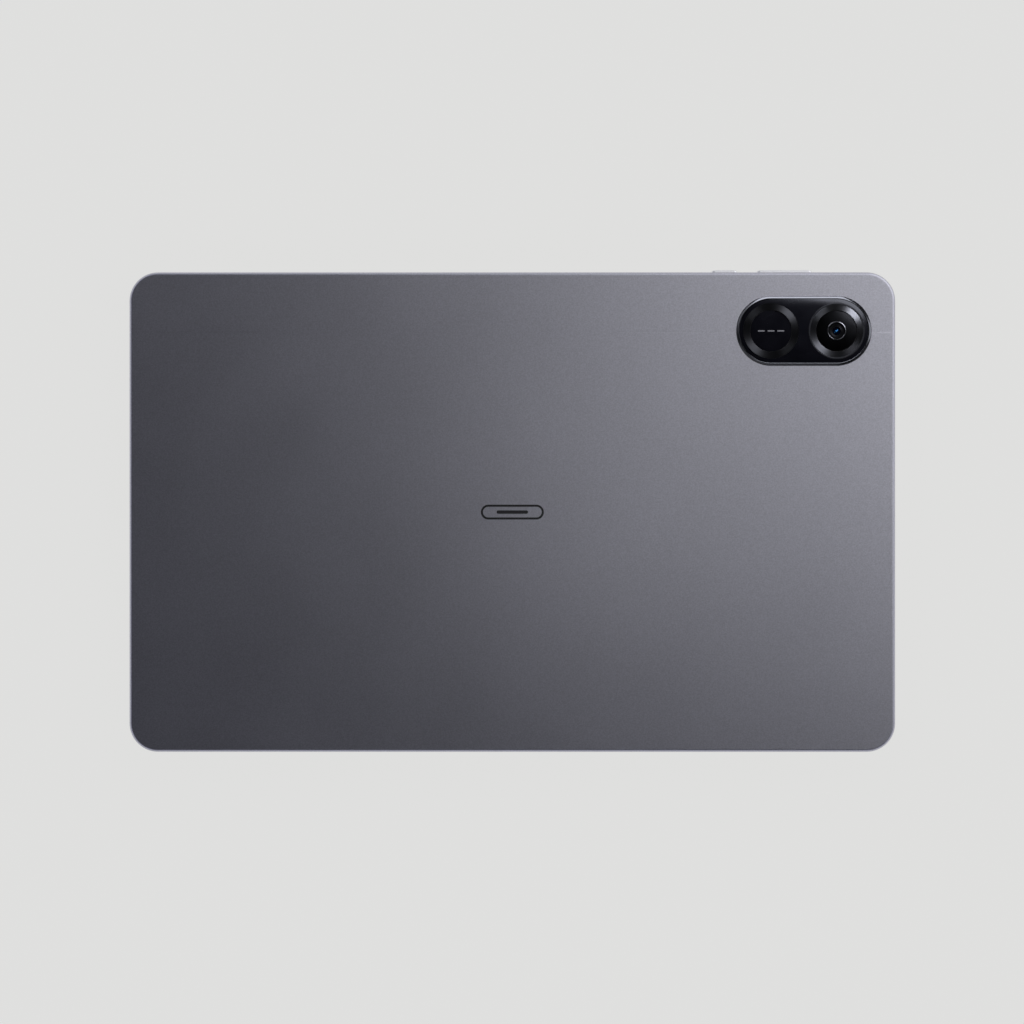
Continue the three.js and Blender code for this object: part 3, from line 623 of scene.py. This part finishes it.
def housing_tray(name):
    """The whole rear housing before the seam parts it: up the inside, then up the outside."""
    ceiling = rounded_top(HOLLOW_R, HOLLOW_R, BACK_Z - SHELL_BACK, steps=4)
    levels = [(WALL + inset, z) for inset, z in reversed(ceiling)]
    levels.append((WALL, FRONT_Z))
    levels += rounded_bottom(FRONT_EDGE_R, FRONT_EDGE_R, FRONT_Z)
    levels += rounded_top(REAR_EDGE_R, REAR_EDGE_R, BACK_Z, steps=12)
    return loft(name, rounded_rect(LENGTH, WIDTH, CORNER_R), levels)


def housing_half(name, y_low, y_high, slot, node):
    """The part of the housing between two Y planes, with its openings cut."""
    tray = housing_tray(name)
    half = block("half", (-LENGTH, y_low, -LENGTH), (LENGTH, y_high, LENGTH))
    combine(tray, [half], "INTERSECT")
    levels = [(CAMERA_HOLE_INSET, FRONT_Z), (CAMERA_HOLE_INSET, BACK_Z + OVERRUN)]
    camera_hole = loft("camera_hole", camera_outline(arc_steps=24), levels)
    combine(tray, [camera_hole, join_cutters(wall_cutters())], "DIFFERENCE")
    finish_piece(tray, MATERIALS[slot], slot, BODY, node)


def build_housing():
    housing_half("rear_shell_skin", -WIDTH, SEAM_Y - SEAM_GAP / 2, "aluminium_shell", "rear_shell")
    housing_half("antenna_cap_skin", SEAM_Y + SEAM_GAP / 2, WIDTH, "painted_cap", "antenna_cap")


# ---------- Keys ----------

def build_key(name):
    """A key: its domed cap with sloped ends, joined to the flange behind the wall."""
    low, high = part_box(name)
    length, centre = KEYS[name]["length"], (KEYS[name]["x"], EDGE_MID_Z)
    root_y = WIDTH / 2 - WALL - KEY_ROOT
    flange_y = low.y + KEY_CLEAR
    edge = 0.05 * MM

    def cap_outline(inset, squeeze=0.45):
        """Insets the long sides by less than the ends, so that the ends slope."""
        outline = stadium(length - 2 * inset, KEY_HEIGHT - 2 * squeeze * inset, centre)
        return outline()

    levels = [(0.0, root_y)] + rounded_top(KEY_SLOPE, KEY_CROWN, high.y, steps=10)
    cap = loft(f"{name}_cap", cap_outline, levels, along_y)
    flange = stadium(extent(name).x, extent(name).z, centre)
    plate = loft("flange", flange, [(edge, flange_y), (0.0, flange_y + edge), (0.0, root_y)], along_y)
    combine(cap, [plate], "UNION")
    finish_piece(cap, MATERIALS["key_metal"], "key_metal", name, name)


# ---------- Rear camera ----------

def camera_outline(arc_steps=32):
    return stadium(CAMERA_SIZE.x, CAMERA_SIZE.y, (CAMERA.x, CAMERA.y), arc_steps)


def build_camera_frame(bevel_steps=6):
    """The raised metal surround: a bevel that flattens towards its crest, and the window's seat."""
    top = CAMERA_HIGH.z
    flange_z = BACK_Z + 0.05 * MM
    seat_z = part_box("camera_window")[0].z - 0.05 * MM
    edge = 0.08 * MM
    bevel_fall = SURROUND_BEVEL * (BEVEL_FOOT_SLOPE + BEVEL_TOP_SLOPE) / 2
    levels = [
        (SURROUND_FOOT, CAMERA_LOW.z),
        (SURROUND_FOOT, flange_z),
        (edge, flange_z),
        (0.0, flange_z + edge),
        (0.0, top - bevel_fall - SURROUND_LIP * LIP_SLOPE),
    ]
    for step in range(bevel_steps + 1):
        rest = 1 - step / bevel_steps
        fall = BEVEL_TOP_SLOPE * rest + (BEVEL_FOOT_SLOPE - BEVEL_TOP_SLOPE) * rest**2 / 2
        levels.append((SURROUND_LIP + SURROUND_BEVEL * (1 - rest), top - SURROUND_BEVEL * fall))
    levels += [
        (SURROUND_RIM - 0.5 * SURROUND_CREST, top - 0.3 * SURROUND_CREST),
        (SURROUND_RIM, top - SURROUND_CREST),
        (SURROUND_RIM, seat_z),
        (SURROUND_SEAT, seat_z),
        (SURROUND_SEAT, CAMERA_LOW.z),
    ]
    surround = loft("camera_surround", camera_outline(), levels, ring=True)
    slot = "camera_dark_metal"
    finish_piece(surround, MATERIALS[slot], slot, BODY, "camera_frame")


def build_camera_window(fall_steps=14):
    """The black window: its surface falls away towards the rim, and two round holes take the eyes."""
    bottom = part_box("camera_window")[0].z
    levels = [(WINDOW_INSET, bottom)]
    for step in range(fall_steps + 1):
        rest = 1 - step / fall_steps
        fall = WINDOW_EDGE_SLOPE * WINDOW_FALL_WIDTH * rest**2 / 2
        levels.append((WINDOW_INSET + WINDOW_FALL_WIDTH * (1 - rest), WINDOW_TOP_Z - fall))
    window = loft("camera_window_pane", camera_outline(), levels)
    hole_levels = [(0.0, bottom - OVERRUN), (0.0, WINDOW_TOP_Z + OVERRUN)]
    decor_hole = circle(extent("decor_ring").x / 2 + 0.03 * MM, (DECOR.x, DECOR.y), arc_steps=24)
    lens_hole = circle(COLLAR_OUTER + 0.02 * MM, (LENS.x, LENS.y), arc_steps=24)
    holes = [loft("eye_hole", outline, hole_levels) for outline in (decor_hole, lens_hole)]
    combine(window, holes, "DIFFERENCE")
    slot = "camera_black_glass"
    finish_piece(window, MATERIALS[slot], slot, BODY, "camera_window")


def turned_ring(name, centre, inner, outer, low_z, inner_z, slope_degrees):
    """A ring whose top slopes down outwards, with small rounded edges."""
    edge = 0.1 * MM
    shoulder = 0.3 * edge
    drop = math.tan(math.radians(slope_degrees))
    outer_z = inner_z - (outer - inner) * drop
    return lathe(name, centre, [
        (inner, low_z),
        (outer, low_z),
        (outer, outer_z - edge),
        (outer - shoulder, outer_z - shoulder),
        (outer - edge, outer_z + edge * drop),
        (inner + edge, inner_z - edge * drop),
        (inner + shoulder, inner_z - shoulder),
        (inner, inner_z - edge),
    ], arc_steps=32)


def build_decor_eye():
    """The left eye: a dark turned ring round a plain sunken disc."""
    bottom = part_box("decor_ring")[0].z
    outer = extent("decor_ring").x / 2
    ring = turned_ring("decor_eye_ring", DECOR, DECOR_RING_INNER, outer, bottom, WINDOW_TOP_Z,
                       slope_degrees=2.5)
    finish_piece(ring, DECOR_METAL, "camera_dark_metal", BODY, "decor_ring")
    low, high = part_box("decor_disc")
    edge = 0.05 * MM
    disc_r = DECOR_RING_INNER - 0.05 * MM
    levels = [(-disc_r, low.z), (-disc_r, high.z - edge), (edge - disc_r, high.z)]
    disc = loft("decor_eye_disc", circle(0.0, (DECOR.x, DECOR.y), arc_steps=24), levels)
    slot = "camera_black_glass"
    finish_piece(disc, MATERIALS[slot], slot, BODY, "decor_disc")


def build_lens_ring():
    """The right eye's turned ring, whose top slopes down outwards."""
    low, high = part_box("lens_ring")
    ring = turned_ring("lens_cone", LENS, LENS_RING_INNER, LENS_RING_OUTER, low.z,
                       high.z - 0.01 * MM, slope_degrees=9)
    finish_piece(ring, MATERIALS["lens_ring_metal"], "lens_ring_metal", BODY, "lens_ring")


def build_lens_collar():
    """A thin satin collar between the turned ring and the window."""
    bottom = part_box("lens_ring")[0].z
    crest_z = WINDOW_TOP_Z + 0.02 * MM
    inner, outer = LENS_RING_OUTER + 0.02 * MM, COLLAR_OUTER
    edge_width, edge_height = 0.2 * MM, 0.12 * MM
    shoulder_width, shoulder_height = 0.4 * edge_width, edge_height / 3
    collar = lathe("lens_collar", LENS, [
        (inner, bottom),
        (outer, bottom),
        (outer, crest_z - edge_height),
        (outer - shoulder_width, crest_z - shoulder_height),
        (outer - edge_width, crest_z),
        (inner + edge_width, crest_z),
        (inner + shoulder_width, crest_z - shoulder_height),
        (inner, crest_z - edge_height),
    ], arc_steps=32)
    finish_piece(collar, COLLAR_METAL, "camera_dark_metal", BODY)


def pane_z(radius):
    """The height of the lens pane's dome at a distance from its middle."""
    return PANE_TOP_Z - PANE_DOME_R + math.sqrt(PANE_DOME_R**2 - radius**2)


def build_lens_pane(dome_steps=10):
    """Slightly domed black glass with a round hole over the barrel."""
    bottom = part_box("lens_cover_glass")[0].z
    pane_r = LENS_RING_INNER - 0.05 * MM
    profile = [(PANE_HOLE_R, bottom), (pane_r, bottom)]
    for step in range(dome_steps + 1):
        radius = pane_r + (PANE_HOLE_R - pane_r) * step / dome_steps
        profile.append((radius, pane_z(radius)))
    pane = lathe("lens_pane", LENS, profile, arc_steps=32)
    finish_piece(pane, LENS_PANE, "camera_black_glass", BODY)


def build_lens_bead(steps=24):
    """A low bead round the pane's hole, wider outside its crest than inside."""
    middle_z = pane_z(PANE_HOLE_R) - 0.1 * MM
    profile = []
    for step in range(steps):
        angle = 2 * math.pi * step / steps
        width = BEAD_OUTER if math.cos(angle) > 0 else BEAD_INNER
        profile.append((BEAD_R + width * math.cos(angle), middle_z + BEAD_HEIGHT * math.sin(angle)))
    trim = lathe("lens_bead", LENS, profile, arc_steps=24)
    finish_piece(trim, BEAD_BLACK, "inner_black", BODY)


def build_clear_middle():
    """The thin clear glass inside the bead."""
    clear_r = BEAD_R - 0.1 * MM
    surface_z = pane_z(PANE_HOLE_R)
    levels = [(-clear_r, surface_z - CLEAR_THICKNESS), (-clear_r, surface_z - 0.15 * MM)]
    clear = loft("lens_pane_middle", circle(0.0, (LENS.x, LENS.y), arc_steps=32), levels)
    finish_piece(clear, WINDOW_GLASS, "lens_glass", BODY, "lens_cover_glass")


def build_barrel():
    """The focusing barrel: a flat rim with a shoulder outside it and a funnel inside it."""
    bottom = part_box("rear_lens_barrel")[0].z
    outer = extent("rear_lens_barrel").x / 2
    rim_outer, rim_inner = 2.7 * MM, 2.1 * MM
    neck_depth, shoulder_depth = 0.85 * MM, 0.5 * MM
    funnel_depth, throat_depth = 0.2 * MM, 0.8 * MM
    edge, inner_edge = 0.05 * MM, 0.03 * MM
    top = BARREL_TOP_Z
    barrel = lathe("focus_barrel_body", LENS, [
        (BARREL_BORE, bottom),
        (outer, bottom),
        (outer, top - neck_depth),
        (rim_outer + 5 * edge, top - shoulder_depth),
        (rim_outer + edge, top - edge),
        (rim_outer, top),
        (rim_inner, top),
        (rim_inner - 2 * edge, top - inner_edge),
        (BARREL_BORE + edge, top - funnel_depth),
        (BARREL_BORE, top - throat_depth),
    ])
    finish_piece(barrel, BARREL_BLACK, "inner_black", "focus_barrel", "rear_lens_barrel")


def build_front_element(dome_steps=10):
    """The domed front element, held in the barrel's bore."""
    gap = 0.02 * MM
    dome_r = 2.2 * MM
    dome_top = BARREL_TOP_Z - 0.1 * MM
    levels = [(gap - BARREL_BORE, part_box("rear_lens_element")[0].z)]
    for step in range(dome_steps):
        radius = BARREL_BORE * (1 - step / dome_steps) - gap
        levels.append((-radius, dome_top - dome_r + math.sqrt(dome_r**2 - radius**2)))
    element = loft("front_element", circle(0.0, (LENS.x, LENS.y), arc_steps=24), levels)
    finish_piece(element, coated_lens("coated_lens"), "lens_glass", "focus_barrel",
                 "rear_lens_element")


# ---------- Generic marks in place of lettering ----------

def printed(name, outline, z, material, slot):
    """A flat print of ink, a hair above the surface at z."""
    mark = loft(name, outline, [(0.0, z + INK_LIFT), (0.0, z + 2 * INK_LIFT)])
    finish_piece(mark, material, slot, BODY)


def build_rear_mark():
    """A plain emblem: a thin pill outline with one bar in it."""
    length, height, line = 22 * MM, 5.2 * MM, 0.75 * MM
    z = BACK_Z + INK_LIFT
    top = z + 2 * INK_LIFT
    levels = [(0.0, z), (line, z), (line, top), (0.0, top)]
    ring = loft("rear_mark_ring", stadium(length, height), levels, ring=True)
    finish_piece(ring, INK, "inner_black", BODY)
    bar = stadium(length / 2, 1.6 * line, arc_steps=8)
    printed("rear_mark_bar", bar, BACK_Z, INK, "inner_black")


def build_disc_bars():
    """A row of three plain bars on the left eye's disc."""
    bars, pitch, length, height = 3, 3.4 * MM, 2.4 * MM, 0.45 * MM
    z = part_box("decor_disc")[1].z
    for index in range(bars):
        x = DECOR.x + (index - (bars - 1) / 2) * pitch
        bar = stadium(length, height, (x, DECOR.y), arc_steps=6)
        printed(f"disc_bar_{index + 1}", bar, z, PALE_INK, "inner_black")


# ---------- Screen side ----------

def build_screen():
    """Cover glass with a curved edge, and behind it the black border print round the display."""
    low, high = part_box("cover_glass")
    inset = (LENGTH - (high.x - low.x)) / 2
    outline = rounded_rect(high.x - low.x, high.y - low.y, CORNER_R - inset)
    levels = rounded_bottom(0.35 * MM, 0.3 * MM, low.z, steps=8) + [(0.0, high.z)]
    glass = loft("cover_glass_pane", outline, levels)
    finish_piece(glass, MATERIALS["screen_glass"], "screen_glass", BODY, "cover_glass")
    margin = 0.05 * MM
    print_low = high.z + 0.004 * MM
    print_high = print_low + 2 * INK_LIFT
    border = loft("border_print", outline, [(margin, print_low), (margin, print_high)])
    through = [(0.0, low.z - OVERRUN), (0.0, high.z + OVERRUN)]
    opening = rounded_rect(*DISPLAY_SIZE, DISPLAY_CORNER_R, arc_steps=12)
    window = loft("display_window", opening, through)
    eye = middle("front_camera")
    eye_hole = loft("eye_hole", circle(FRONT_EYE_R, (eye.x, eye.y)), through)
    combine(border, [window, eye_hole], "DIFFERENCE")
    finish_piece(border, INK, "frame_black", BODY)


# ---------- Connector ----------

def build_usb():
    """The connector's shell: a tube that ends in a rounded lip at its mouth, on the -X side.

    Its levels count from the middle of the tablet towards -X.
    """
    low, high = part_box("usb_shell")
    size = high - low
    wall = 0.31 * MM
    edge = 0.08 * MM
    outline = stadium(size.y, size.z, (middle("usb_shell").y, EDGE_MID_Z))
    mouth_x, back_x = -low.x, -high.x
    levels = [
        (0.0, back_x),
        (0.0, mouth_x - edge),
        (edge, mouth_x),
        (wall - edge, mouth_x),
        (wall, mouth_x - 0.1 * MM),
        (wall, back_x + 0.4 * MM),
    ]
    shell = loft("usb_shell_tube", outline, levels, along_x(-1))
    finish_piece(shell, MATERIALS["steel"], "steel", BODY, "usb_shell")


# ---------- Carried-over CAD nodes ----------

def dress_cad_nodes():
    """Every CAD node gets the node material of its slot."""
    for part in frame["record"]["subparts"]:
        node = frame["nodes"][part["node"]]
        node.data.materials.clear()
        node.data.materials.append(MATERIALS[part["material_slot"]])


# ---------- Floor, lights and camera ----------

PALE = 0.737
FLOOR_ALBEDO = 0.1
FLOOR_GLOW = 0.715
FLOOR_REACH = 60.0
FLOOR_DEPTH = 0.01
FLOOR_GAP = 0.01 * MM


def build_floor():
    """A wide pale floor just under the screen glass. Most of its light is its own, so that its
    tone stays even."""
    floor = block("floor", (-FLOOR_REACH, -FLOOR_REACH, -FLOOR_DEPTH),
                  (FLOOR_REACH, FLOOR_REACH, -FLOOR_GAP))
    nodes = Nodes("pale_floor")
    nodes.vary_colour(nodes.noise(0.5, detail=2.0), (FLOOR_ALBEDO,) * 3, 0.01)
    nodes.set(Roughness=1.0, Specular_IOR_Level=0.0)
    nodes.set(Emission_Strength=FLOOR_GLOW, Emission_Color=(1, 1, 0.985, 1))
    floor.data.materials.append(nodes.material)
    return floor


def receivers(name, pieces, state):
    """A light-linking collection that includes or excludes the given pieces."""
    collection = bpy.data.collections.new(name)
    for piece in pieces:
        collection.objects.link(piece)
        collection.collection_objects[-1].light_linking.link_state = state
    return collection


def aim(lamp, place, target):
    lamp.location = place
    lamp.rotation_euler = (Vector(target) - Vector(place)).to_track_quat("-Z", "Y").to_euler()


DETAIL_BLUE = (0.97, 1.0, 1.16)


def soft_box(name, place, target, size, radiance, only=(), roll=0.0):
    """A rectangular soft light, hidden from the camera, with an even radiance.

    `only` names the pieces that it lights. Those lights are slightly blue.
    """
    light = bpy.data.lights.new(name, "AREA")
    light.shape = "RECTANGLE"
    light.size, light.size_y = size
    light.energy = radiance * math.pi * size[0] * size[1]
    lamp = bpy.data.objects.new(name, light)
    bpy.context.scene.collection.objects.link(lamp)
    aim(lamp, place, target)
    lamp.rotation_euler.rotate_axis("Z", math.radians(roll))
    lamp.visible_camera = False
    if only:
        light.color = DETAIL_BLUE
        pieces = [bpy.data.objects[piece] for piece in only]
        lamp.light_linking.receiver_collection = receivers(f"{name}_sees", pieces, "INCLUDE")
    return lamp


FRAME_PIECES = ("camera_surround",)
WINDOW_PIECES = ("camera_window_pane", "lens_collar", "decor_eye_disc")
PANE_PIECES = ("lens_pane", "lens_pane_middle", "lens_bead")
BARREL_PIECES = ("focus_barrel_body", "front_element")
RING_PIECES = ("decor_eye_ring", "lens_cone")
CAMERA_PIECES = FRAME_PIECES + WINDOW_PIECES + PANE_PIECES + BARREL_PIECES + RING_PIECES


def around(centre, azimuth, from_zenith, distance):
    """A point at a distance from the centre, by azimuth from +X and angle from straight up."""
    flat = math.sin(math.radians(from_zenith)) * distance
    return centre + Vector((
        flat * math.cos(math.radians(azimuth)),
        flat * math.sin(math.radians(azimuth)),
        math.cos(math.radians(from_zenith)) * distance,
    ))


DETAIL_DISTANCE = 1.0


def detail_light(name, only, centre, azimuth, from_zenith, size, radiance):
    """A soft light that faces the centre and lights a few named pieces."""
    place = around(centre, azimuth, from_zenith, DETAIL_DISTANCE)
    soft_box(name, place, centre, size, radiance, only)


def build_body_lights(floor):
    """A large key light and a small one from straight above. The camera's pieces don't see them."""
    key_place, key_target = (0.251, 0.201, 0.276), (0.05, 0.03, 0.0)
    top_place, top_target = (0.038, 0.006, 0.2055), (0.038, 0.006, 0.0)
    key = soft_box("key_light", key_place, key_target, (0.48, 0.55), radiance=1.02)
    top = soft_box("top_light", top_place, top_target, (0.1, 0.1), radiance=0.16)
    details = [bpy.data.objects[name] for name in CAMERA_PIECES]
    for lamp in (key, top):
        lamp.light_linking.receiver_collection = receivers("body_only", [floor] + details, "EXCLUDE")
        lamp.light_linking.blocker_collection = receivers("passes", details, "EXCLUDE")


def build_eye_lights():
    """Small soft lights for the rings, the pane, the bead and the barrel."""
    small, medium, large = (0.3, 0.3), (0.4, 0.4), (0.5, 0.5)
    detail_light("decor_light", ("decor_eye_ring",), DECOR, 45, 50, medium, 90)
    detail_light("decor_fill", ("decor_eye_ring",), DECOR, 133, 50, medium, 15)
    detail_light("cone_light", ("lens_cone",), LENS, 45, 50, medium, 320)
    detail_light("cone_fill", ("lens_cone",), LENS, 130, 50, medium, 28)
    detail_light("cone_low_light", ("lens_cone",), LENS, 312, 50, medium, 12)
    detail_light("pane_light", ("lens_pane",), LENS, 50, 36, medium, 32)
    detail_light("bead_light", ("lens_bead",), LENS, 45, 38, large, 130)
    detail_light("bead_fill", ("lens_bead",), LENS, 128, 38, large, 28)
    detail_light("barrel_light", ("focus_barrel_body",), LENS, 45, 38, small, 18)
    detail_light("barrel_fill", ("focus_barrel_body",), LENS, 218, 38, small, 8)
    above_lens = LENS + Vector((0.0, 0.0, DETAIL_DISTANCE))
    soft_box("streak_light", above_lens, LENS, (1.3, 0.15), 120, ("front_element",), roll=34)


def build_surround_lights():
    """Soft lights round the surround, and one close strip that grazes the window."""
    detail_light("frame_top_light", FRAME_PIECES, CAMERA, 93, 34, (0.52, 0.75), 11.5)
    detail_light("frame_edge_light", FRAME_PIECES, CAMERA, 93, 66, (0.6, 0.5), 3.5)
    detail_light("frame_right_light", FRAME_PIECES, CAMERA, 2, 45, (0.4, 0.7), 4.8)
    detail_light("frame_left_light", FRAME_PIECES, CAMERA, 145, 38, (0.6, 0.6), 1.6)
    detail_light("frame_fill", FRAME_PIECES, CAMERA, 238, 36, (0.8, 0.35), 1.0)
    strip_place, strip_target = (0.113, 0.09, 0.043), (0.105, 0.074, 0.008)
    soft_box("window_light", strip_place, strip_target, (0.05, 0.016), 4.4, WINDOW_PIECES, roll=-6)


SKY_AZIMUTH = 225
SKY_TILT = 0.85
SKY_STOPS = ((0.12, (PALE, PALE, PALE, 1)), (0.5, (0.417, 0.428, 0.515, 1)), (0.9, (0, 0, 0, 1)))


def build_world():
    """A dark zenith, tilted away from the key light, that brightens to the floor's tone."""
    world = bpy.data.worlds.new("studio")
    bpy.context.scene.world = world
    world.use_nodes = True
    tree = world.node_tree
    coordinates = tree.nodes.new("ShaderNodeTexCoord")
    height = tree.nodes.new("ShaderNodeVectorMath")
    height.operation = "DOT_PRODUCT"
    height.inputs[1].default_value = around(Vector(), SKY_AZIMUTH, SKY_TILT, 1.0)
    ramp = tree.nodes.new("ShaderNodeValToRGB")
    tree.links.new(coordinates.outputs["Generated"], height.inputs[0])
    tree.links.new(height.outputs["Value"], ramp.inputs["Fac"])
    tree.links.new(ramp.outputs["Color"], tree.nodes["Background"].inputs["Color"])
    elements = ramp.color_ramp.elements
    elements.new(SKY_STOPS[1][0])
    for element, (position, colour) in zip(elements, SKY_STOPS):
        element.position = position
        element.color = colour


VIEW_WIDTH = 357.65 * MM
VIEW_Z = 4 * MM
VIEW_CENTRE = (-0.12 * MM, 0.03 * MM)


def build_camera():
    """Looks straight down on the rear cover through a long lens, VIEW_WIDTH wide at VIEW_Z."""
    data = bpy.data.cameras.new("camera")
    data.lens = 600
    data.sensor_width = 36
    data.clip_start = 0.1
    data.clip_end = 200
    distance = VIEW_WIDTH * data.lens / data.sensor_width
    camera = bpy.data.objects.new("camera", data)
    bpy.context.scene.collection.objects.link(camera)
    camera.location = (*VIEW_CENTRE, VIEW_Z + distance)
    bpy.context.scene.camera = camera


def main():
    build_housing()
    for name in KEYS:
        build_key(name)
    build_camera_frame()
    build_camera_window()
    build_decor_eye()
    build_lens_ring()
    build_lens_collar()
    build_lens_pane()
    build_lens_bead()
    build_clear_middle()
    build_barrel()
    build_front_element()
    build_rear_mark()
    build_disc_bars()
    build_screen()
    build_usb()
    dress_cad_nodes()
    build_world()
    build_body_lights(build_floor())
    build_eye_lights()
    build_surround_lights()
    build_camera()
    bpy.context.scene.view_settings.view_transform = "Standard"


main()
